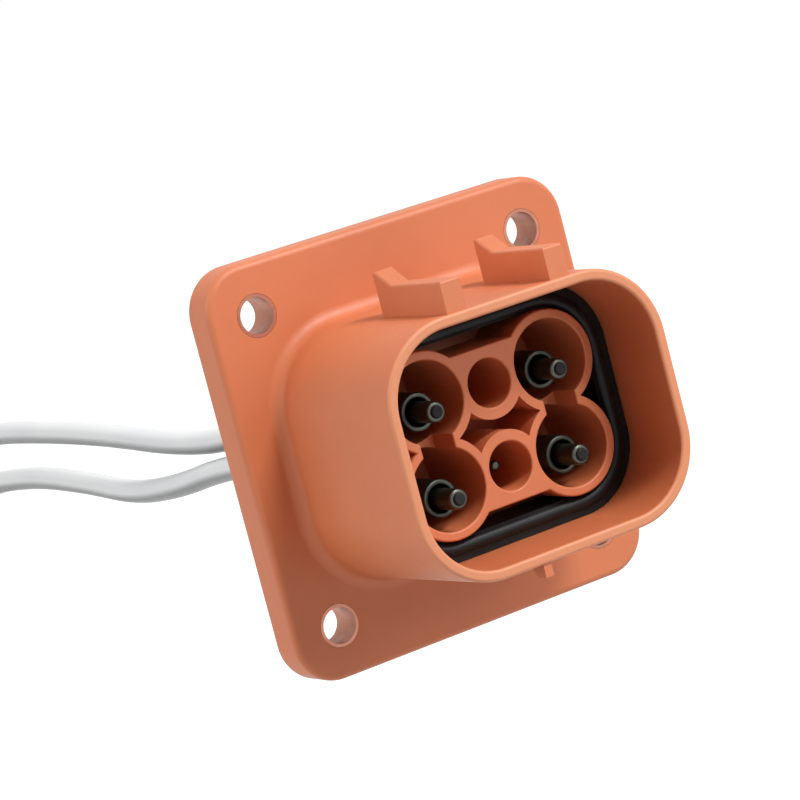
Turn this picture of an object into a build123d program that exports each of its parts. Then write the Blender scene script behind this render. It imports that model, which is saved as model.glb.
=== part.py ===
"""High voltage panel receptacle: a flanged header with four power pins and two interlock pins.

Millimetres, +Z up. The plug comes in along +Y, so the mating side faces -Y and the panel lies behind.
The origin is the centre of the bolt pattern on the flange's mounting face.
Distances called forward are measured from that face towards the plug, so forward d is y = -d.
"""

import os
from math import hypot, pi, radians, tan

from build123d import *

# Flange, with a metal sleeve in each bolt hole
flange_side = 64.0
flange_thickness = 5.8
flange_corner = 7.0
flange_edge_radius = 1.0
bolt_set_in = 2.0
limiter_bore = 5.5
limiter_wall = 0.5
limiter_clearance = 0.05

# Shroud round the sockets, measured at its rim, and widening towards the flange
seal_room_x = 3.85
seal_room_z = 3.5
cavity_corner = 10.5
shroud_depth = 31.5
shroud_wall = 1.7
shroud_draft = 0.6
shroud_root_radius = 2.0
rim_radius = 0.5

# Ramped keys on top of the shroud, and one small key below it
key_spacing = 18.0
key_width = 3.3
key_length = 18.1
key_height = 4.8
key_peak_height = 7.2
key_slope_length = 4.3
key_setback = 0.5
key_edge_radius = 0.4
low_key_width = 1.4
low_key_height = 2.0
low_key_length = 4.4
low_key_x = -5.0

# Wall between the shroud's cavity and the rear, and the spigot that enters the panel's cut-out
bulkhead_thickness = 3.5
spigot_length = 4.5
spigot_wall = 1.8
rear_cavity_step = 0.9

# Panel seal, a round cord in a groove round the spigot
panel_seal_reach = 2.6
panel_seal_section = 2.8
panel_seal_proud = 0.7
panel_groove_clearance = 0.15

# Contact carrier: two pairs of large sockets, and a small socket between each two
carrier_clearance = 0.15
carrier_body_depth = 9.2
carrier_wall = 1.8
carrier_floor = 3.7
tower_depth = 10.4
power_pitch_x = 22.1
power_socket_bore = 12.4
power_socket_wall = 1.4
power_socket_divider = 0.8
interlock_pitch = 12.7
interlock_socket_bore = 7.3
interlock_socket_wall = 1.75
web_rise = 0.05
web_width = 16.0
notch_width = 5.6
notch_depth = 6.0
tower_edge_radius = 0.3

# Seal between the carrier's towers and the shroud
mating_seal_clearance = 0.1
mating_seal_recess = 1.8
mating_lip_radius = 1.1
mating_lip_reach = 1.3

# Power pins in their sleeves, hung a little below the middle of their sockets
pin_drop = 1.4
pin_diameter = 3.2
pin_proud = 2.0
pin_nose_radius = 0.5
pin_shank_diameter = 3.8
pin_shank_length = 8.0
pin_collar_diameter = 5.2
pin_collar_length = 2.0
pin_tip_wall = 0.6
tip_proud = 0.4
tip_depth = 3.0
tip_clearance = 0.02
tip_edge_radius = 0.3
sleeve_diameter = 5.8
sleeve_wall = 0.8
sleeve_rim_radius = 0.3
sleeve_recess = 3.1
sleeve_collar_diameter = 8.0
tab_width = 8.0
tab_thickness = 2.0
tab_length = 20.3
tab_hole = 4.3
tab_hole_inset = 4.5
contact_clearance = 0.1

# Interlock pins
interlock_pin_diameter = 1.5
interlock_nose_radius = 0.45
interlock_collar_diameter = 3.2
interlock_barrel_diameter = 3.0
upper_interlock_recess = 9.5
lower_interlock_recess = 4.1

# Rear retainer, its lead outlets and its screws
retainer_thickness = 5.0
retainer_clearance = 0.2
retainer_pocket_depth = 3.0
outlet_diameter = 8.4
outlet_length = 5.8
screw_inset = 4.2
screw_diameter = 2.5
screw_length = 12.0
screw_end_gap = 0.4
screw_head_diameter = 4.4
screw_head_height = 1.7
screw_boss_diameter = 5.0
screw_drive_size = 1.8
screw_drive_depth = 0.9
screw_clearance = 0.2
thread_clearance = 0.02

# Leads and the seal that each passes through
lead_diameter = 4.2
lead_clearance = 0.05
lead_seal_diameter = 6.2
lead_seal_groove = 0.4
lead_seal_ribs = 3
lead_seal_head_diameter = 7.6
lead_seal_head = 1.0

# Each arc of a lead takes this share of the shorter run beside it
lead_arc_share = 0.45

# Two-way plug on the leads' far ends, hanging with its mouth down
plug_pitch = 5.0
plug_y = 226.0
plug_top = -53.5
plug_length = 24.0
plug_wall = 1.2
plug_side_wall = 3.0
plug_corner = 1.5
plug_front_wall = 2.0
mat_seal_depth = 6.0
mat_seal_gap = 0.4
mat_clearance = 0.1
terminal_size = 3.3
terminal_clearance = 0.15
terminal_crimp_diameter = 3.0
terminal_crimp_length = 5.0
terminal_slot_width = 0.9
terminal_slot_height = 1.9
terminal_slot_depth = 8.0
latch_length = 16.0
latch_width = 4.0
latch_thickness = 1.1
latch_gap = 1.0
latch_root = 2.0
latch_tooth = 0.8

# Places that follow from the sizes above
rim_forward = flange_thickness + shroud_depth
bulkhead_front = flange_thickness
bulkhead_back = bulkhead_front - bulkhead_thickness
retainer_back = bulkhead_back - retainer_thickness
outlet_back = retainer_back - outlet_length
barrel_back = bulkhead_back - retainer_pocket_depth
carrier_shoulder = bulkhead_front + carrier_body_depth
tower_face = carrier_shoulder + tower_depth
socket_floor = bulkhead_front + carrier_floor
power_pitch_z = power_socket_bore + power_socket_divider
tower_radius = power_socket_bore / 2 + power_socket_wall
interlock_tower_radius = interlock_socket_bore / 2 + interlock_socket_wall
web_height = interlock_pitch + 2 * (interlock_tower_radius + web_rise)
tower_span_x = power_pitch_x + 2 * tower_radius
tower_span_z = power_pitch_z + 2 * tower_radius
cavity_width = tower_span_x + 2 * seal_room_x
cavity_height = tower_span_z + 2 * seal_room_z
shroud_width = cavity_width + 2 * shroud_wall
shroud_height = cavity_height + 2 * shroud_wall
shroud_corner = cavity_corner + shroud_wall
draft_growth = shroud_depth * tan(radians(shroud_draft))
rear_cavity_width = cavity_width - 2 * rear_cavity_step
rear_cavity_height = cavity_height - 2 * rear_cavity_step
rear_cavity_corner = cavity_corner - rear_cavity_step
spigot_width = rear_cavity_width + 2 * spigot_wall
spigot_height = rear_cavity_height + 2 * spigot_wall
spigot_corner = rear_cavity_corner + spigot_wall
panel_seal_width = spigot_width + 2 * panel_seal_reach
panel_seal_height = spigot_height + 2 * panel_seal_reach
panel_seal_corner = spigot_corner + panel_seal_reach
bolt_pitch = panel_seal_width - 2 * bolt_set_in
mating_seal_front = tower_face - mating_seal_recess
pin_front = tower_face + pin_proud
tip_diameter = pin_diameter - 2 * pin_tip_wall
sleeve_front = tower_face - sleeve_recess
sleeve_bore = sleeve_diameter - 2 * sleeve_wall
terminal_cavity = terminal_size + 2 * terminal_clearance
mat_cavity_x = terminal_cavity + 2 * (plug_side_wall - plug_wall)
mat_cavity_y = plug_pitch + mat_cavity_x
mat_corner = plug_corner - plug_wall / 2
plug_size_x = mat_cavity_x + 2 * plug_wall
plug_size_y = mat_cavity_y + 2 * plug_wall
lead_end = plug_top - mat_seal_depth
screw_out = cavity_width / 2 - screw_inset
screw_up = cavity_height / 2 - screw_inset
head_seat = retainer_back + screw_head_height
pilot_end = head_seat + screw_length + screw_end_gap
screw_places = [(-screw_out, 0), (screw_out, 0), (0, -screw_up), (0, screw_up)]
corners = {
    "upper_left": (-1, 1),
    "upper_right": (1, 1),
    "lower_left": (-1, -1),
    "lower_right": (1, -1),
}
levels = {"upper": 1, "lower": -1}

# Edges this near a plane count as lying in it
touch = 0.01


def forward(distance):
    """The plane parallel to the flange, this far in front of its mounting face, looking forward."""
    return Plane.XZ.offset(distance)


def socket_place(corner):
    """The middle of one large socket, across and up."""
    side, level = corners[corner]
    return side * power_pitch_x / 2, level * power_pitch_z / 2


def pin_place(corner):
    """The axis of one power pin, across and up."""
    across, up = socket_place(corner)
    return across, up - pin_drop


def interlock_place(level):
    """The axis of one interlock pin, across and up."""
    return 0, levels[level] * interlock_pitch / 2


def disc_stack(place, discs, hollows=()):
    """A turned piece on the axis at place: discs and then hollows as (diameter, from, to) forward."""
    with BuildPart() as piece:
        for diameter, start, end in discs:
            with BuildSketch(forward(start)):
                with Locations(place):
                    Circle(diameter / 2)
            extrude(amount=end - start)
        for diameter, start, end in hollows:
            with BuildSketch(forward(start)):
                with Locations(place):
                    Circle(diameter / 2)
            extrude(amount=end - start, mode=Mode.SUBTRACT)
    return piece


def ring_cord(width, height, corner, centre_forward, radius):
    """A round cord that follows a rounded rectangle."""
    with BuildSketch(forward(centre_forward)) as loop:
        RectangleRounded(width, height, corner)
    path = loop.sketch.face().outer_wire()
    with BuildPart() as piece:
        with BuildSketch(Plane(origin=path @ 0, z_dir=path % 0)):
            Circle(radius)
        sweep(path=path)
    return piece


def save(piece, name):
    """Label a finished piece and write it to its own file."""
    piece.part.label = name
    export_step(piece.part, f"parts/{name}.step")


os.makedirs("parts", exist_ok=True)

# The housing is one moulding: flange, shroud, keys, bulkhead and rear spigot
with BuildPart() as housing:
    with BuildSketch(forward(0)):
        RectangleRounded(flange_side, flange_side, flange_corner)
    extrude(amount=flange_thickness)
    fillet(housing.faces().sort_by(Axis.Y)[0].edges(), flange_edge_radius)

    with BuildSketch(forward(flange_thickness)):
        RectangleRounded(
            shroud_width + 2 * draft_growth,
            shroud_height + 2 * draft_growth,
            shroud_corner + draft_growth,
        )
    extrude(amount=shroud_depth, taper=shroud_draft)
    root_reach = (shroud_width + flange_side) / 4
    root = housing.edges().filter_by_position(Axis.Y, -flange_thickness - touch, -flange_thickness + touch)
    root = root.filter_by(lambda e: max(abs(e.center().X), abs(e.center().Z)) < root_reach)
    fillet(root, shroud_root_radius)

    # Each top key rises to a peak at its flange end
    key_front = key_setback - rim_forward
    key_back = key_front + key_length
    key_foot = shroud_height / 2 - shroud_wall / 2
    key_top = shroud_height / 2 + key_height
    key_peak = shroud_height / 2 + key_peak_height
    for side in (-1, 1):
        with BuildSketch(Plane.YZ.offset(side * key_spacing / 2)):
            with BuildLine():
                Polyline(
                    (key_front, key_foot),
                    (key_front, key_top),
                    (key_back - key_slope_length, key_top),
                    (key_back, key_peak),
                    (key_back, key_foot),
                    close=True,
                )
            make_face()
        extrude(amount=key_width / 2, both=True)
    key_edges = housing.edges().filter_by(lambda e: e.center().Z > key_top - touch)
    fillet(key_edges.filter_by(lambda e: e.center().Z < key_peak + touch), key_edge_radius)

    low_key_floor = -shroud_height / 2 - low_key_height
    with BuildSketch(Plane.YZ.offset(low_key_x)):
        with BuildLine():
            Polyline(
                (key_front, -key_foot),
                (key_front, low_key_floor),
                (key_front + low_key_length / 2, low_key_floor),
                (key_front + low_key_length, -key_foot),
                close=True,
            )
        make_face()
    extrude(amount=low_key_width / 2, both=True)

    # Cavity for the carrier and the plug, open at the rim
    with BuildSketch(forward(bulkhead_front)):
        RectangleRounded(cavity_width, cavity_height, cavity_corner)
    extrude(amount=shroud_depth, mode=Mode.SUBTRACT)
    fillet(housing.faces().sort_by(Axis.Y)[0].edges(), rim_radius)

    # Spigot and the rear cavity for the retainer
    with BuildSketch(forward(0)):
        RectangleRounded(spigot_width, spigot_height, spigot_corner)
    extrude(amount=-spigot_length)
    with BuildSketch(forward(bulkhead_back)):
        RectangleRounded(rear_cavity_width, rear_cavity_height, rear_cavity_corner)
    extrude(amount=-(bulkhead_back + spigot_length), mode=Mode.SUBTRACT)

    # Groove for the panel seal
    groove_width = panel_seal_section + 2 * panel_groove_clearance
    with BuildSketch(forward(0)):
        RectangleRounded(
            panel_seal_width + groove_width,
            panel_seal_height + groove_width,
            panel_seal_corner + groove_width / 2,
        )
        RectangleRounded(
            panel_seal_width - groove_width,
            panel_seal_height - groove_width,
            panel_seal_corner - groove_width / 2,
            mode=Mode.SUBTRACT,
        )
    extrude(amount=panel_seal_section - panel_seal_proud, mode=Mode.SUBTRACT)

    # Bolt holes, and holes through the bulkhead for contacts and screws
    with BuildSketch(forward(0)):
        with GridLocations(bolt_pitch, bolt_pitch, 2, 2):
            Circle(limiter_bore / 2 + limiter_wall + limiter_clearance)
    extrude(amount=flange_thickness, mode=Mode.SUBTRACT)
    with BuildSketch(forward(bulkhead_back)):
        with Locations(*[pin_place(corner) for corner in corners]):
            Circle(sleeve_collar_diameter / 2 + contact_clearance)
        with Locations(*[interlock_place(level) for level in levels]):
            Circle(interlock_collar_diameter / 2 + contact_clearance)
        with Locations(*screw_places):
            Circle(screw_diameter / 2 + screw_clearance)
    extrude(amount=bulkhead_thickness, mode=Mode.SUBTRACT)
save(housing, "housing")

# A metal limiter in each bolt hole takes the screw's load
for corner, (side, level) in corners.items():
    place = (side * bolt_pitch / 2, level * bolt_pitch / 2)
    limiter = disc_stack(
        place,
        [(limiter_bore + 2 * limiter_wall, 0, flange_thickness)],
        [(limiter_bore, 0, flange_thickness)],
    )
    save(limiter, f"limiter_{corner}")

panel_seal = ring_cord(
    panel_seal_width,
    panel_seal_height,
    panel_seal_corner,
    panel_seal_section / 2 - panel_seal_proud,
    panel_seal_section / 2,
)
save(panel_seal, "panel_seal")

# The carrier is one moulding: a cored body that fills the shroud, and the towers that stand on it
body_width = cavity_width - 2 * carrier_clearance
body_height = cavity_height - 2 * carrier_clearance
body_corner = cavity_corner - carrier_clearance
with BuildPart() as carrier:
    with BuildSketch(forward(bulkhead_front)):
        RectangleRounded(body_width, body_height, body_corner)
    extrude(amount=carrier_body_depth)
    with BuildSketch(forward(bulkhead_front)):
        RectangleRounded(
            body_width - 2 * carrier_wall,
            body_height - 2 * carrier_wall,
            body_corner - carrier_wall,
        )
    extrude(amount=carrier_body_depth - carrier_wall, mode=Mode.SUBTRACT)

    with BuildSketch(forward(bulkhead_front)):
        with GridLocations(power_pitch_x, power_pitch_z, 2, 2):
            Circle(tower_radius)
        with GridLocations(0, interlock_pitch, 1, 2):
            Circle(interlock_tower_radius)
        web_depth = (web_height - interlock_pitch) / 2
        web_middle = (web_height + interlock_pitch) / 2
        with GridLocations(0, web_middle, 1, 2):
            Rectangle(web_width, web_depth)
    extrude(amount=tower_face - bulkhead_front)
    with BuildSketch(forward(bulkhead_front)):
        with Locations(*screw_places):
            Circle(screw_boss_diameter / 2)
    extrude(amount=carrier_body_depth - carrier_wall)

    # Sockets, and the notch that lowers the wall between the two of a pair
    with BuildSketch(forward(socket_floor)):
        with GridLocations(power_pitch_x, power_pitch_z, 2, 2):
            Circle(power_socket_bore / 2)
        with GridLocations(0, interlock_pitch, 1, 2):
            Circle(interlock_socket_bore / 2)
    extrude(amount=tower_face - socket_floor, mode=Mode.SUBTRACT)
    with BuildSketch(forward(tower_face - notch_depth)):
        with GridLocations(power_pitch_x, 0, 2, 1):
            Rectangle(notch_width, power_socket_wall * 2)
    extrude(amount=notch_depth, mode=Mode.SUBTRACT)

    # Every edge of the towers' face is rounded but those of the narrow pocket in its middle
    face = carrier.faces().sort_by(Axis.Y)[0]
    rims = face.outer_wire().edges()
    for wire in face.inner_wires():
        middle = wire.bounding_box().center()
        if hypot(middle.X, middle.Z) > interlock_pitch / 4:
            rims += wire.edges()
    fillet(rims, tower_edge_radius)

    # Holes in the sockets' floors, and the screws' pilot holes
    with BuildSketch(forward(bulkhead_front)):
        with Locations(*[pin_place(corner) for corner in corners]):
            Circle(sleeve_diameter / 2 + contact_clearance)
        with Locations(*[interlock_place(level) for level in levels]):
            Circle(interlock_pin_diameter / 2 + contact_clearance)
    extrude(amount=carrier_floor, mode=Mode.SUBTRACT)
    with BuildSketch(forward(bulkhead_front)):
        with Locations(*screw_places):
            Circle(screw_diameter / 2 + thread_clearance)
    extrude(amount=pilot_end - bulkhead_front, mode=Mode.SUBTRACT)
save(carrier, "contact_carrier")

# Rubber ring that the plug's shell presses on, with a rounded lip
lip = ring_cord(
    tower_span_x + 2 * mating_lip_reach,
    tower_span_z + 2 * mating_lip_reach,
    tower_radius + mating_lip_reach,
    mating_seal_front,
    mating_lip_radius,
)
with BuildPart() as mating_seal:
    with BuildSketch(forward(carrier_shoulder)):
        RectangleRounded(
            cavity_width - 2 * mating_seal_clearance,
            cavity_height - 2 * mating_seal_clearance,
            cavity_corner - mating_seal_clearance,
        )
        RectangleRounded(
            tower_span_x + 2 * mating_seal_clearance,
            tower_span_z + 2 * mating_seal_clearance,
            tower_radius + mating_seal_clearance,
            mode=Mode.SUBTRACT,
        )
    extrude(amount=mating_seal_front - carrier_shoulder)
    add(lip.part)
save(mating_seal, "mating_seal")

# Each power contact: a sleeve, a pin with a flat rear tab, and an insulating tip
for corner in corners:
    place = pin_place(corner)
    sleeve = disc_stack(
        place,
        [
            (sleeve_collar_diameter, bulkhead_back, bulkhead_front),
            (sleeve_diameter, bulkhead_front, sleeve_front),
        ],
        [
            (pin_collar_diameter + 2 * contact_clearance, bulkhead_back, bulkhead_back + pin_collar_length),
            (pin_shank_diameter + 2 * contact_clearance, bulkhead_back, bulkhead_back + pin_shank_length),
            (sleeve_bore, bulkhead_back + pin_shank_length, sleeve_front),
        ],
    )
    with BuildPart() as rounded_sleeve:
        add(sleeve.part)
        fillet(rounded_sleeve.faces().sort_by(Axis.Y)[0].edges(), sleeve_rim_radius)
    save(rounded_sleeve, f"contact_sleeve_{corner}")

    tip_root = pin_front - tip_depth
    with BuildPart() as pin:
        for diameter, end in (
            (pin_collar_diameter, bulkhead_back + pin_collar_length),
            (pin_shank_diameter, bulkhead_back + pin_shank_length),
            (pin_diameter, pin_front),
        ):
            with BuildSketch(forward(bulkhead_back)):
                with Locations(place):
                    Circle(diameter / 2)
            extrude(amount=end - bulkhead_back)
        fillet(pin.faces().sort_by(Axis.Y)[0].edges(), pin_nose_radius)
        with BuildSketch(forward(tip_root)):
            with Locations(place):
                Circle(tip_diameter / 2)
        extrude(amount=tip_depth, mode=Mode.SUBTRACT)
        with BuildSketch(Plane.YZ.offset(place[0])):
            with Locations((-bulkhead_back + tab_length / 2, place[1])):
                Rectangle(tab_length, tab_width)
                with Locations((tab_length / 2 - tab_hole_inset, 0)):
                    Circle(tab_hole / 2, mode=Mode.SUBTRACT)
        extrude(amount=tab_thickness / 2, both=True)
    save(pin, f"power_pin_{corner}")

    with BuildPart() as tip:
        with BuildSketch(forward(tip_root)):
            with Locations(place):
                Circle(tip_diameter / 2 - tip_clearance)
        extrude(amount=tip_depth + tip_proud)
        fillet(tip.faces().sort_by(Axis.Y)[0].edges(), tip_edge_radius)
    save(tip, f"pin_tip_{corner}")

# Interlock pins, each crimped to a lead behind the bulkhead
interlock_recess = {"upper": upper_interlock_recess, "lower": lower_interlock_recess}
for level in levels:
    place = interlock_place(level)
    interlock_front = tower_face - interlock_recess[level]
    with BuildPart() as interlock_pin:
        for diameter, start, end in (
            (interlock_barrel_diameter, barrel_back, bulkhead_back),
            (interlock_collar_diameter, bulkhead_back, bulkhead_front),
            (interlock_pin_diameter, bulkhead_front, interlock_front),
        ):
            with BuildSketch(forward(start)):
                with Locations(place):
                    Circle(diameter / 2)
            extrude(amount=end - start)
        fillet(interlock_pin.faces().sort_by(Axis.Y)[0].edges(), interlock_nose_radius)
    save(interlock_pin, f"interlock_pin_{level}")

# The retainer holds every contact from behind and carries the two lead outlets
with BuildPart() as retainer:
    with BuildSketch(forward(bulkhead_back)):
        RectangleRounded(
            rear_cavity_width - 2 * retainer_clearance,
            rear_cavity_height - 2 * retainer_clearance,
            rear_cavity_corner - retainer_clearance,
        )
    extrude(amount=-retainer_thickness)
    with BuildSketch(forward(retainer_back)):
        with GridLocations(0, interlock_pitch, 1, 2):
            Circle(outlet_diameter / 2)
    extrude(amount=-outlet_length)
    with BuildSketch(forward(bulkhead_back)):
        with Locations(*[pin_place(corner) for corner in corners]):
            Rectangle(tab_thickness + 2 * contact_clearance, tab_width + 2 * contact_clearance)
        with GridLocations(0, interlock_pitch, 1, 2):
            Circle(interlock_barrel_diameter / 2 + contact_clearance)
        with Locations(*screw_places):
            Circle(screw_diameter / 2 + screw_clearance)
    extrude(amount=-retainer_thickness, mode=Mode.SUBTRACT)
    with BuildSketch(forward(barrel_back)):
        with GridLocations(0, interlock_pitch, 1, 2):
            Circle(lead_seal_diameter / 2)
    extrude(amount=outlet_back - barrel_back, mode=Mode.SUBTRACT)
    with BuildSketch(forward(retainer_back)):
        with Locations(*screw_places):
            Circle(screw_head_diameter / 2 + screw_clearance)
    extrude(amount=screw_head_height, mode=Mode.SUBTRACT)
save(retainer, "rear_retainer")

# Four screws hold the retainer and the carrier together through the bulkhead
with BuildPart() as screws:
    with BuildSketch(forward(head_seat)):
        with Locations(*screw_places):
            Circle(screw_head_diameter / 2)
    extrude(amount=-screw_head_height)
    with BuildSketch(forward(head_seat)):
        with Locations(*screw_places):
            Circle(screw_diameter / 2)
    extrude(amount=screw_length)
    with BuildSketch(forward(retainer_back)):
        with Locations(*screw_places):
            RegularPolygon(screw_drive_size / 2, 6)
    extrude(amount=screw_drive_depth, mode=Mode.SUBTRACT)
save(screws, "retainer_screws")

# A ribbed rubber seal on each lead, in its outlet
for level in levels:
    place = interlock_place(level)
    seal_radius = lead_seal_diameter / 2
    groove_radius = seal_radius - lead_seal_groove
    ribs_length = barrel_back - outlet_back
    rib_step = ribs_length / (2 * lead_seal_ribs - 1)
    discs = [(2 * groove_radius, outlet_back, barrel_back)]
    for index in range(lead_seal_ribs):
        start = outlet_back + 2 * index * rib_step
        discs.append((2 * seal_radius, start, start + rib_step))
    discs.append((lead_seal_head_diameter, outlet_back - lead_seal_head, outlet_back))
    lead_seal = disc_stack(
        place,
        discs,
        [(lead_diameter + 2 * lead_clearance, outlet_back - lead_seal_head, barrel_back)],
    )
    save(lead_seal, f"lead_seal_{level}")

# Routes of the leads: straight back out of their outlets, level past the panel, then down to the plug
lead_start = -barrel_back
upper_y = plug_y + plug_pitch / 2
lower_y = plug_y - plug_pitch / 2
lead_routes = {
    "upper": [
        (0, lead_start, interlock_pitch / 2),
        (0, 21.0, interlock_pitch / 2),
        (0.6, 42.0, 2.4),
        (1.2, 62.0, -2.9),
        (0.8, 84.0, -3.6),
        (-0.2, 108.0, -1.6),
        (-1.0, 132.0, -0.8),
        (-0.9, 157.0, -1.1),
        (-0.4, 181.0, -3.5),
        (0.1, 202.0, -11.0),
        (0.3, 217.0, -21.0),
        (0.1, 226.0, -33.5),
        (0, upper_y, -46.5),
        (0, upper_y, lead_end),
    ],
    "lower": [
        (0, lead_start, -interlock_pitch / 2),
        (0, 21.0, -interlock_pitch / 2),
        (-0.6, 43.0, -5.7),
        (-1.2, 64.0, -7.1),
        (-0.8, 84.0, -10.8),
        (0.2, 104.0, -12.6),
        (0.9, 124.0, -11.1),
        (0.8, 147.0, -10.1),
        (0.4, 170.0, -11.8),
        (0.1, 191.0, -18.0),
        (-0.1, 206.5, -27.0),
        (-0.1, 218.3, -36.5),
        (0, lower_y, -47.8),
        (0, lower_y, lead_end),
    ],
}
for level, route in lead_routes.items():
    points = [Vector(*point) for point in route]
    radii = []
    for before, here, after in zip(points, points[1:], points[2:]):
        turn = (here - before).get_angle(after - here)
        shorter = min((here - before).length, (after - here).length)
        radii.append(lead_arc_share * shorter / tan(radians(turn) / 2))
    with BuildPart() as lead:
        with BuildLine() as path:
            FilletPolyline(*points, radius=radii)
        with BuildSketch(Plane(origin=path.line @ 0, z_dir=path.line % 0)):
            Circle(lead_diameter / 2)
        sweep(path=path.line)
    length = path.wires()[0].length
    fullness = lead.part.volume / (pi * lead_diameter**2 / 4 * length)
    print(level, "lead radii:", [round(radius, 1) for radius in radii])
    print("length:", round(length, 2), "volume over section times length:", round(fullness, 6))
    save(lead, f"interlock_lead_{level}")

# The plug on the leads: housing, mat seal and two terminals
plug_places = [(0, lower_y), (0, upper_y)]
plug_bottom = plug_top - plug_length
with BuildPart() as plug:
    with BuildSketch(Plane.XY.offset(plug_bottom)):
        with Locations((0, plug_y)):
            RectangleRounded(plug_size_x, plug_size_y, plug_corner)
    extrude(amount=plug_length)
    with BuildSketch(Plane.XY.offset(lead_end)):
        with Locations((0, plug_y)):
            RectangleRounded(mat_cavity_x, mat_cavity_y, mat_corner)
    extrude(amount=mat_seal_depth, mode=Mode.SUBTRACT)
    with BuildSketch(Plane.XY.offset(plug_bottom + plug_front_wall)):
        with Locations(*plug_places):
            Rectangle(terminal_cavity, terminal_cavity)
    extrude(amount=plug_length - plug_front_wall - mat_seal_depth, mode=Mode.SUBTRACT)
    with BuildSketch(Plane.XY.offset(plug_bottom)):
        with Locations(*plug_places):
            Rectangle(terminal_slot_height, terminal_slot_width)
    extrude(amount=plug_front_wall, mode=Mode.SUBTRACT)
    latch_face = plug_size_x / 2
    latch_inner = latch_face + latch_gap
    latch_outer = latch_inner + latch_thickness
    with BuildSketch(Plane.XZ.offset(-plug_y)):
        with BuildLine():
            Polyline(
                (latch_face, plug_bottom),
                (latch_outer, plug_bottom),
                (latch_outer + latch_tooth, plug_bottom + latch_root),
                (latch_outer, plug_bottom + latch_root),
                (latch_outer, plug_bottom + latch_length),
                (latch_inner, plug_bottom + latch_length),
                (latch_inner, plug_bottom + latch_root),
                (latch_face, plug_bottom + latch_root),
                close=True,
            )
        make_face()
    extrude(amount=latch_width / 2, both=True)
save(plug, "lead_plug")

with BuildPart() as mat_seal:
    with BuildSketch(Plane.XY.offset(lead_end)):
        with Locations((0, plug_y)):
            RectangleRounded(
                mat_cavity_x - 2 * mat_clearance,
                mat_cavity_y - 2 * mat_clearance,
                mat_corner - mat_clearance,
            )
        with Locations(*plug_places):
            Circle(lead_diameter / 2 + lead_clearance, mode=Mode.SUBTRACT)
    extrude(amount=mat_seal_depth - mat_seal_gap)
save(mat_seal, "lead_plug_seal")

terminal_bottom = plug_bottom + plug_front_wall
for level, place in zip(("lower", "upper"), plug_places):
    with BuildPart() as terminal:
        with BuildSketch(Plane.XY.offset(terminal_bottom)):
            with Locations(place):
                Rectangle(terminal_size, terminal_size)
        extrude(amount=lead_end - terminal_crimp_length - terminal_bottom)
        with BuildSketch(Plane.XY.offset(lead_end - terminal_crimp_length)):
            with Locations(place):
                Circle(terminal_crimp_diameter / 2)
        extrude(amount=terminal_crimp_length)
        with BuildSketch(Plane.XY.offset(terminal_bottom)):
            with Locations(place):
                Rectangle(terminal_slot_height, terminal_slot_width)
        extrude(amount=terminal_slot_depth, mode=Mode.SUBTRACT)
    save(terminal, f"lead_plug_terminal_{level}")
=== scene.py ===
"""Finishes, leads, floor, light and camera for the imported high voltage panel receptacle."""

import bpy
from mathutils import Matrix, Vector


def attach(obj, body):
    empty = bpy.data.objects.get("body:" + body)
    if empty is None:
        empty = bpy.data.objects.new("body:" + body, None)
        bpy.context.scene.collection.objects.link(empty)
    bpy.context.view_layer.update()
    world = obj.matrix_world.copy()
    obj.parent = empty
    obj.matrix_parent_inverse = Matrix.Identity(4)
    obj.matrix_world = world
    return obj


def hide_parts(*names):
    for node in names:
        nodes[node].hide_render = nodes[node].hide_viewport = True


MM = 0.001
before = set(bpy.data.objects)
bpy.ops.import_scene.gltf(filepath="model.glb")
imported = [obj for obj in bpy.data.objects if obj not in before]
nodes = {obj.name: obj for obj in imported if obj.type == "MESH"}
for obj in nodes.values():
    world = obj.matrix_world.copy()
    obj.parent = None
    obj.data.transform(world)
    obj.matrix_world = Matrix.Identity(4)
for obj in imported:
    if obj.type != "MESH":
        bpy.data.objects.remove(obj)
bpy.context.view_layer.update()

CORNERS = ("upper_left", "upper_right", "lower_left", "lower_right")
LEVELS = ("upper", "lower")

# The photograph's camera, worked out from the flange's holes and outline
CAMERA_PLACE = Vector((-265.03, -471.98, 79.12)) * MM
CAMERA_RIGHT = Vector((0.82724, -0.50254, -0.25126))
CAMERA_UP = Vector((0.28614, -0.00803, 0.95815))
CAMERA_BACK = CAMERA_RIGHT.cross(CAMERA_UP)
CAMERA_LENS = 161.31
SENSOR = 36.0

# Leads: their diameter, and the route of each in millimetres
LEAD_DIAMETER = 4.2 * MM
LEAD_ROUTES = {
    "upper": [
        (0, 0.7, 6.35),
        (0, 21.0, 6.35),
        (0.6, 42.0, 2.4),
        (1.2, 62.0, -2.9),
        (0.8, 84.0, -3.6),
        (-0.2, 108.0, -1.6),
        (-1.0, 132.0, -0.8),
        (-0.9, 157.0, -1.1),
        (-0.4, 181.0, -3.5),
        (0.1, 202.0, -11.0),
        (0.3, 217.0, -21.0),
        (0.1, 226.0, -33.5),
        (0, 228.5, -46.5),
        (0, 228.5, -59.5),
    ],
    "lower": [
        (0, 0.7, -6.35),
        (0, 21.0, -6.35),
        (-0.6, 43.0, -5.7),
        (-1.2, 64.0, -7.1),
        (-0.8, 84.0, -10.8),
        (0.2, 104.0, -12.6),
        (0.9, 124.0, -11.1),
        (0.8, 147.0, -10.1),
        (0.4, 170.0, -11.8),
        (0.1, 191.0, -18.0),
        (-0.1, 206.5, -27.0),
        (-0.1, 218.3, -36.5),
        (0, 223.5, -47.8),
        (0, 223.5, -59.5),
    ],
}

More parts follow.
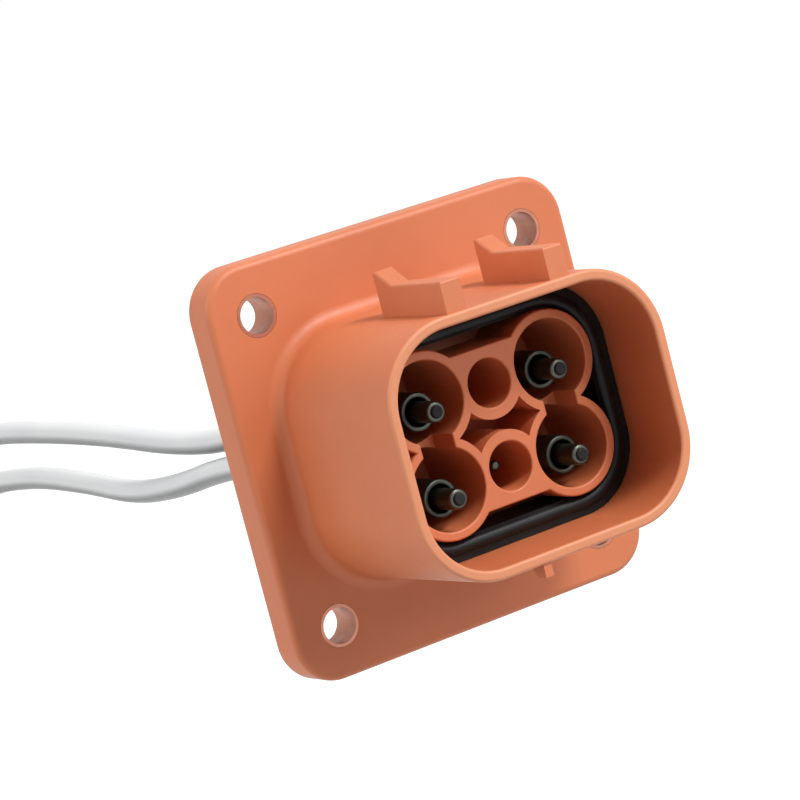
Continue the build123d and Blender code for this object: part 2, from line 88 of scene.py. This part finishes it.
# Colours. Where there are two, they are the ends of a gentle variation
ORANGE = (0.565, 0.156, 0.057), (0.635, 0.177, 0.067)
# Painted highlight: a paler orange along the front of the shroud's rim
RIM_HIGHLIGHT_ORANGE = (0.66, 0.24, 0.11)
BLACK = (0.012, 0.012, 0.013), (0.022, 0.022, 0.023)
RUBBER = (0.008, 0.008, 0.009), (0.016, 0.016, 0.017)
PLATED = (0.30, 0.305, 0.28), (0.42, 0.425, 0.39)
# Painted shade: the pins' darker front colour inside the sockets
PLATED_SHADED_FRONT = (0.075, 0.08, 0.068)
# Painted shade: a very dark metal for the sleeves, which stand deep in the sockets
SHADED_SLEEVE_METAL = (0.04, 0.044, 0.038), (0.08, 0.084, 0.072)
BRONZE = (0.34, 0.145, 0.095), (0.46, 0.20, 0.135)
ZINC = (0.50, 0.51, 0.52), (0.62, 0.63, 0.64)
JACKET = (0.74, 0.75, 0.76), (0.80, 0.81, 0.81)
# Painted shade: the grey colour of the leads' undersides
JACKET_PAINTED_SHADE = (0.24, 0.245, 0.245)

# The noise stays near its middle, so colours change between these values of it
RAMP_FROM = 0.3
RAMP_TO = 0.7

# Heights of the fine relief on moulded and on turned surfaces
GRAIN = 0.02 * MM
TURNING = 0.01 * MM

# A turned surface's roughness varies between these shares of its usual value
SMOOTHER = 0.75
ROUGHER = 1.3

# The shroud's rim is painted paler, a painted highlight, from the first of these places to the second,
# along Y
RIM_HIGHLIGHT_FROM = -36.7 * MM
RIM_HIGHLIGHT_TO = -37.2 * MM

# The pins turn to a darker front colour, painted shade for the inside of the sockets, between these places,
# along Y
SOCKET_SHADE_FROM = -8 * MM
SOCKET_SHADE_TO = -16 * MM

# A lead's jacket turns to its painted shade colour on the underside while its normal's height goes from the
# first to the second
JACKET_SHADE_FROM = 0.15
JACKET_SHADE_TO = -0.5

# The floor lies clear below the plug
FLOOR_HEIGHT = -120 * MM
FLOOR_REACH = 6.0
FLOOR_COLOUR = 0.42
FLOOR_GLOW = 0.85
FLOOR_ROUGHNESS = 0.9

# Light from the surroundings: white where it is seen, and otherwise dimmer straight ahead of the sockets
SEEN_LIGHT = 1.0
SIDE_LIGHT = 0.5
FRONT_LIGHT = 0.08

# It dims between these cosines of the angle from straight ahead
AHEAD = (0, -1, 0)
FRONT_BEGINS = 0.3
FRONT_FULL = 0.9


def shade(name, metallic=0.0, specular=0.5):
    """A new material, its node tree and its main shader."""
    material = bpy.data.materials.new(name)
    material.use_nodes = True
    tree = material.node_tree
    shader = tree.nodes["Principled BSDF"]
    shader.inputs["Metallic"].default_value = metallic
    shader.inputs["Specular IOR Level"].default_value = specular
    return material, tree, shader


def noise(tree, waves, detail=3.0, stretch=(1, 1, 1)):
    """Noise in the object's own space, at this many waves to the metre."""
    place = tree.nodes.new("ShaderNodeTexCoord")
    stretched = tree.nodes.new("ShaderNodeMapping")
    stretched.inputs["Scale"].default_value = stretch
    texture = tree.nodes.new("ShaderNodeTexNoise")
    texture.inputs["Scale"].default_value = waves
    texture.inputs["Detail"].default_value = detail
    tree.links.new(place.outputs["Object"], stretched.inputs["Vector"])
    tree.links.new(stretched.outputs["Vector"], texture.inputs["Vector"])
    return texture.outputs["Fac"]


def along(tree, output, axis):
    """One axis of the object's own coordinates or of its normals."""
    place = tree.nodes.new("ShaderNodeTexCoord")
    parts = tree.nodes.new("ShaderNodeSeparateXYZ")
    tree.links.new(place.outputs[output], parts.inputs["Vector"])
    return parts.outputs[axis]


def ramp(tree, value, low, high):
    """Turns a value into a colour between low and high."""
    colours = tree.nodes.new("ShaderNodeValToRGB")
    first, last = colours.color_ramp.elements
    first.position, last.position = RAMP_FROM, RAMP_TO
    first.color = (*low, 1)
    last.color = (*high, 1)
    tree.links.new(value, colours.inputs["Fac"])
    return colours.outputs["Color"]


def spread(tree, value, low, high):
    """Turns a value from 0 to 1 into one from low to high."""
    mapped = tree.nodes.new("ShaderNodeMapRange")
    mapped.inputs["To Min"].default_value = low
    mapped.inputs["To Max"].default_value = high
    tree.links.new(value, mapped.inputs["Value"])
    return mapped.outputs["Result"]


def passage(tree, value, start, end, low=0.0, high=1.0):
    """Goes smoothly from low to high while the value goes from start to end."""
    mapped = tree.nodes.new("ShaderNodeMapRange")
    mapped.interpolation_type = "SMOOTHSTEP"
    mapped.inputs["From Min"].default_value = start
    mapped.inputs["From Max"].default_value = end
    mapped.inputs["To Min"].default_value = low
    mapped.inputs["To Max"].default_value = high
    tree.links.new(value, mapped.inputs["Value"])
    return mapped.outputs["Result"]


def mixed(tree, share, colour, other):
    """The colour that comes in, and the other one where the share is 1."""
    mix = tree.nodes.new("ShaderNodeMix")
    mix.data_type = "RGBA"
    mix.inputs["B"].default_value = (*other, 1)
    tree.links.new(share, mix.inputs["Factor"])
    tree.links.new(colour, mix.inputs["A"])
    return mix.outputs["Result"]


def finish(tree, shader, colour, roughness, relief, height, strength):
    """Links a material's colour, roughness and relief, whose height is in metres."""
    tree.links.new(colour, shader.inputs["Base Color"])
    tree.links.new(roughness, shader.inputs["Roughness"])
    bump = tree.nodes.new("ShaderNodeBump")
    bump.inputs["Distance"].default_value = height
    bump.inputs["Strength"].default_value = strength
    tree.links.new(relief, bump.inputs["Height"])
    tree.links.new(bump.outputs["Normal"], shader.inputs["Normal"])


def moulded_orange():
    """Matte orange plastic with a fine spark-eroded grain, faint flow marks and a painted highlight along
    the rim.
    """
    material, tree, shader = shade("moulded_orange", specular=0.6)
    # Painted highlight: the rim's front is mixed toward a paler orange
    rim_highlight = passage(tree, along(tree, "Object", "Y"), RIM_HIGHLIGHT_FROM, RIM_HIGHLIGHT_TO)
    colour = mixed(tree, rim_highlight, ramp(tree, noise(tree, waves=45, detail=4), *ORANGE), RIM_HIGHLIGHT_ORANGE)
    roughness = spread(tree, noise(tree, waves=900), 0.44, 0.6)
    finish(tree, shader, colour, roughness, noise(tree, waves=4200, detail=2), GRAIN, strength=0.5)
    return material


def moulded_black(name, specular):
    """Dark moulded plastic with a fine grain."""
    material, tree, shader = shade(name, specular=specular)
    colour = ramp(tree, noise(tree, waves=120), *BLACK)
    roughness = spread(tree, noise(tree, waves=1500), 0.38, 0.55)
    finish(tree, shader, colour, roughness, noise(tree, waves=4000, detail=2), GRAIN, strength=0.4)
    return material


def smooth_rubber():
    """Black silicone rubber with a smooth skin."""
    material, tree, shader = shade("smooth_rubber", specular=0.15)
    colour = ramp(tree, noise(tree, waves=200), *RUBBER)
    roughness = spread(tree, noise(tree, waves=500), 0.3, 0.46)
    finish(tree, shader, colour, roughness, noise(tree, waves=1800, detail=2), GRAIN, strength=0.3)
    return material


def turned_metal(name, colours, roughness, socket_shade=None):
    """Metal with fine turning marks round the axis, along Y, and, if one is given, a darker front colour
    painted as shade inside the sockets.
    """
    material, tree, shader = shade(name, metallic=1.0)
    colour = ramp(tree, noise(tree, waves=260), *colours)
    if socket_shade:
        # Painted shade: a darker colour where the pins stand inside the sockets
        in_socket_shade = passage(tree, along(tree, "Object", "Y"), SOCKET_SHADE_FROM, SOCKET_SHADE_TO)
        colour = mixed(tree, in_socket_shade, colour, socket_shade)
    uneven = spread(tree, noise(tree, waves=700), roughness * SMOOTHER, roughness * ROUGHER)
    marks = noise(tree, waves=350, detail=2, stretch=(1, 8, 1))
    finish(tree, shader, colour, uneven, marks, TURNING, strength=0.4)
    return material


def glossy_jacket():
    """Near-white lead jacket with a soft gloss, a faint lengthwise draw and painted shade on its grey
    underside.
    """
    material, tree, shader = shade("glossy_jacket", specular=0.3)
    # Painted shade: the jacket greys where its normal points down
    painted_underside = passage(tree, along(tree, "Normal", "Z"), JACKET_SHADE_FROM, JACKET_SHADE_TO)
    colour = mixed(tree, painted_underside, ramp(tree, noise(tree, waves=60), *JACKET), JACKET_PAINTED_SHADE)
    roughness = spread(tree, noise(tree, waves=400), 0.25, 0.4)
    draw = noise(tree, waves=900, detail=2, stretch=(1, 0.06, 1))
    finish(tree, shader, colour, roughness, draw, GRAIN, strength=0.3)
    return material


def dress(material, *names):
    """Gives the CAD nodes of these names their material."""
    for name in names:
        mesh = nodes[name].data
        mesh.materials.clear()
        mesh.materials.append(material)


def each(stem, ends):
    """The names of the nodes that share a stem."""
    return [f"{stem}_{end}" for end in ends]


def camera():
    """The photograph's camera."""
    data = bpy.data.cameras.new("camera")
    data.lens = CAMERA_LENS
    data.sensor_width = SENSOR
    data.clip_start = 0.05
    data.clip_end = 20
    place = bpy.data.objects.new("camera", data)
    turn = Matrix((CAMERA_RIGHT, CAMERA_UP, CAMERA_BACK)).transposed()
    place.matrix_world = Matrix.Translation(CAMERA_PLACE) @ turn.to_4x4()
    bpy.context.scene.collection.objects.link(place)
    bpy.context.scene.camera = place


def lead(level, material):
    """One lead as a smooth curve along its route."""
    name = f"lead_{level}"
    curve = bpy.data.curves.new(name, "CURVE")
    curve.dimensions = "3D"
    curve.resolution_u = 16
    curve.bevel_depth = LEAD_DIAMETER / 2
    curve.bevel_resolution = 8
    curve.use_fill_caps = True
    curve.materials.append(material)
    route = [Vector(point) * MM for point in LEAD_ROUTES[level]]
    spline = curve.splines.new("NURBS")
    spline.points.add(len(route) - 1)
    for control, point in zip(spline.points, route):
        control.co = (*point, 1)
    spline.order_u = 3
    spline.use_endpoint_u = True
    piece = bpy.data.objects.new(name, curve)
    bpy.context.scene.collection.objects.link(piece)
    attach(piece, "root")
    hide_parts(f"interlock_lead_{level}")


def seen_directly(tree):
    """1 for camera, glossy and transmission rays, and 0 for the rays that carry light."""
    path = tree.nodes.new("ShaderNodeLightPath")
    seen = path.outputs["Is Camera Ray"]
    for kind in ("Is Glossy Ray", "Is Transmission Ray"):
        either = tree.nodes.new("ShaderNodeMath")
        either.operation = "MAXIMUM"
        tree.links.new(seen, either.inputs[0])
        tree.links.new(path.outputs[kind], either.inputs[1])
        seen = either.outputs[0]
    return seen


def floor():
    """A pale floor that the camera sees as white, with the object's shadow on it."""
    mesh = bpy.data.meshes.new("floor")
    corners = ((-1, -1), (1, -1), (1, 1), (-1, 1))
    mesh.from_pydata([(x * FLOOR_REACH, y * FLOOR_REACH, 0) for x, y in corners], [], [(0, 1, 2, 3)])
    piece = bpy.data.objects.new("floor", mesh)
    piece.location.z = FLOOR_HEIGHT
    bpy.context.scene.collection.objects.link(piece)
    material, tree, shader = shade("pale_floor", specular=0.0)
    shader.inputs["Roughness"].default_value = FLOOR_ROUGHNESS
    shader.inputs["Base Color"].default_value = (FLOOR_COLOUR, FLOOR_COLOUR, FLOOR_COLOUR, 1)
    shader.inputs["Emission Color"].default_value = (1, 1, 1, 1)
    glow = spread(tree, seen_directly(tree), 0.0, FLOOR_GLOW)
    tree.links.new(glow, shader.inputs["Emission Strength"])
    mesh.materials.append(material)


def surroundings():
    """White to the camera and in reflections, and otherwise a plain light that is dimmer straight ahead."""
    world = bpy.data.worlds.new("surroundings")
    bpy.context.scene.world = world
    world.use_nodes = True
    tree = world.node_tree
    direction = tree.nodes.new("ShaderNodeTexCoord")
    facing = tree.nodes.new("ShaderNodeVectorMath")
    facing.operation = "DOT_PRODUCT"
    facing.inputs[1].default_value = AHEAD
    tree.links.new(direction.outputs["Generated"], facing.inputs[0])
    ambient = passage(tree, facing.outputs["Value"], FRONT_BEGINS, FRONT_FULL, SIDE_LIGHT, FRONT_LIGHT)
    light = tree.nodes.new("ShaderNodeMapRange")
    light.inputs["To Max"].default_value = SEEN_LIGHT
    tree.links.new(ambient, light.inputs["To Min"])
    tree.links.new(seen_directly(tree), light.inputs["Value"])
    background = tree.nodes["Background"]
    background.inputs["Color"].default_value = (1, 1, 1, 1)
    tree.links.new(light.outputs["Result"], background.inputs["Strength"])


def lamp(name, right, up, back, size, power):
    """A round area lamp that faces the object, placed along the camera's own axes, in metres."""
    data = bpy.data.lights.new(name, "AREA")
    data.shape = "DISK"
    data.size = size
    data.energy = power
    piece = bpy.data.objects.new(name, data)
    place = CAMERA_RIGHT * right + CAMERA_UP * up + CAMERA_BACK * back
    piece.location = place
    piece.rotation_mode = "QUATERNION"
    piece.rotation_quaternion = (-place).to_track_quat("-Z", "Y")
    bpy.context.scene.collection.objects.link(piece)


camera()
jacket = glossy_jacket()
for level in LEVELS:
    lead(level, jacket)

# The pins' darker fronts are painted shade inside the sockets
plated = turned_metal("plated_contact", PLATED, roughness=0.38, socket_shade=PLATED_SHADED_FRONT)
rubber = smooth_rubber()
dress(moulded_orange(), "housing", "contact_carrier")
dress(moulded_black("moulded_black", specular=0.5), "rear_retainer", "lead_plug")
dress(moulded_black("dark_tip", specular=0.1), *each("pin_tip", CORNERS))
dress(rubber, "panel_seal", "mating_seal", "lead_plug_seal", *each("lead_seal", LEVELS))
dress(plated, *each("power_pin", CORNERS))
dress(plated, *each("interlock_pin", LEVELS), *each("lead_plug_terminal", LEVELS))
# The sleeves' dark metal is painted shade for their place deep in the sockets
dress(turned_metal("sleeve_painted_shade", SHADED_SLEEVE_METAL, roughness=0.42), *each("contact_sleeve", CORNERS))
dress(turned_metal("limiter_metal", BRONZE, roughness=0.42), *each("limiter", CORNERS))
dress(turned_metal("zinc_steel", ZINC, roughness=0.35), "retainer_screws")

floor()
surroundings()
lamp("key", right=0.6, up=1.24, back=0.72, size=0.5, power=21)
lamp("glance", right=1.1, up=0.66, back=0.78, size=0.6, power=5)
lamp("fill", right=-1.2, up=0.1, back=0.5, size=0.9, power=7)

bpy.context.scene.view_settings.view_transform = "Standard"
